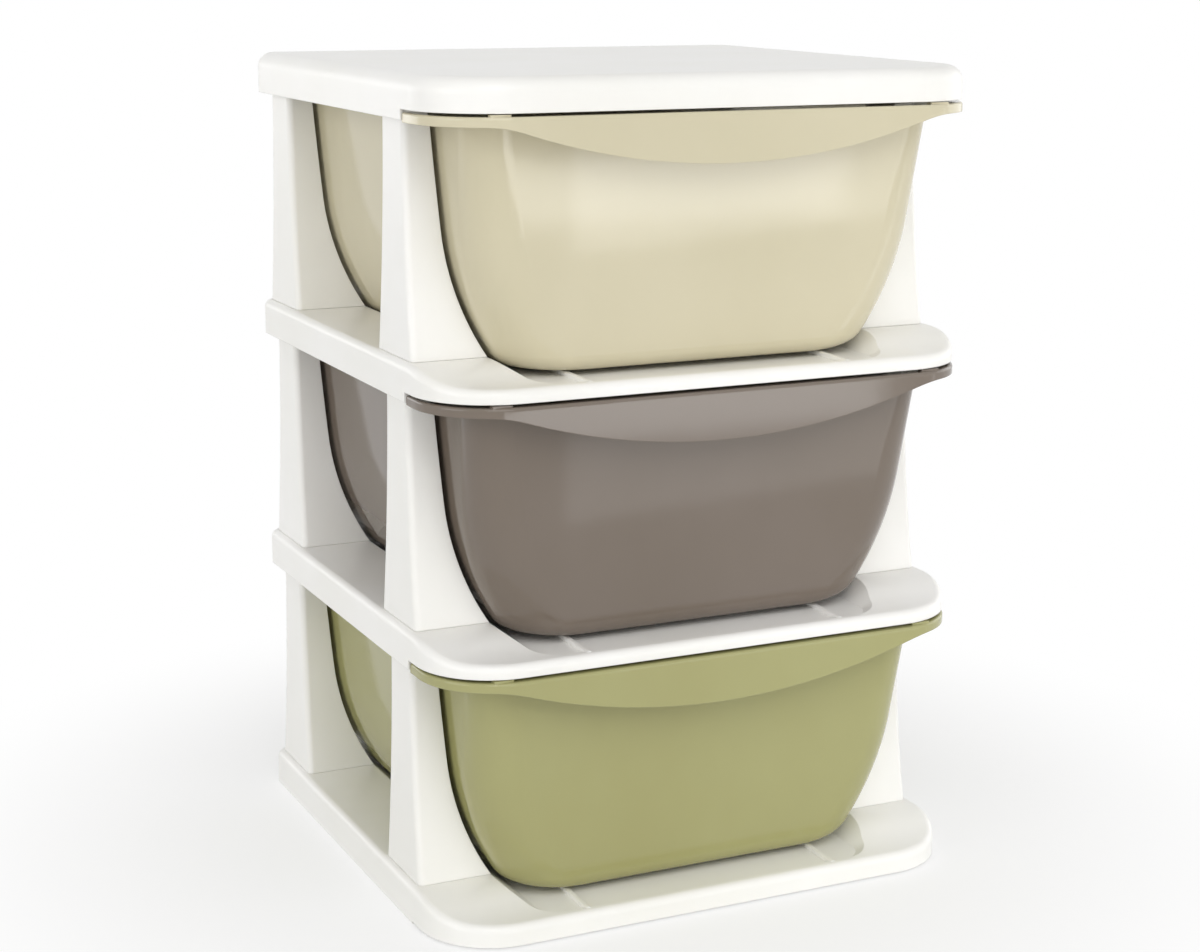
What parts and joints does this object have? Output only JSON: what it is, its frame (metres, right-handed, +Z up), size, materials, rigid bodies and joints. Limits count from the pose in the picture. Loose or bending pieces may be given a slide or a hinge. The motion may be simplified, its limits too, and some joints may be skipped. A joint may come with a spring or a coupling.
{
  "type": "kids storage unit",
  "caption": "Free-standing plastic storage tower of stacked trays on flared posts under a flat top, with open pull-out bins whose curved front lip is the handle.",
  "frame": {"origin": "on the floor under the middle of the unit's bounding box", "axes": "+X to the right seen from the front, the front faces -Y, +Z up"},
  "size_m": [0.41, 0.389, 0.585],
  "materials": {
    "white_shell": "moulded gloss",
    "cream_bin": "moulded satin gloss",
    "taupe_bin": "moulded satin gloss",
    "green_bin": "moulded satin gloss"
  },
  "bodies": {
    "frame": {"base_tray": "white_shell", "lower_shelf": "white_shell", "upper_shelf": "white_shell", "top_panel": "white_shell", "bottom_post_front_left": "white_shell", "bottom_post_front_right": "white_shell", "bottom_post_rear_left": "white_shell", "bottom_post_rear_right": "white_shell", "middle_post_front_left": "white_shell", "middle_post_front_right": "white_shell", "middle_post_rear_left": "white_shell", "middle_post_rear_right": "white_shell", "top_post_front_left": "white_shell", "top_post_front_right": "white_shell", "top_post_rear_left": "white_shell", "top_post_rear_right": "white_shell"},
    "top_bin": {"top_bin": "cream_bin"},
    "middle_bin": {"middle_bin": "taupe_bin"},
    "bottom_bin": {"bottom_bin": "green_bin"}
  },
  "joints": [
    {"name": "top_bin_slide", "type": "slide", "parent": "frame", "child": "top_bin", "axis": [0, -1, 0], "range_m": [0, 0.25]},
    {"name": "middle_bin_slide", "type": "slide", "parent": "frame", "child": "middle_bin", "axis": [0, -1, 0], "range_m": [0, 0.25]},
    {"name": "bottom_bin_slide", "type": "slide", "parent": "frame", "child": "bottom_bin", "axis": [0, -1, 0], "range_m": [0, 0.25]}
  ]
}
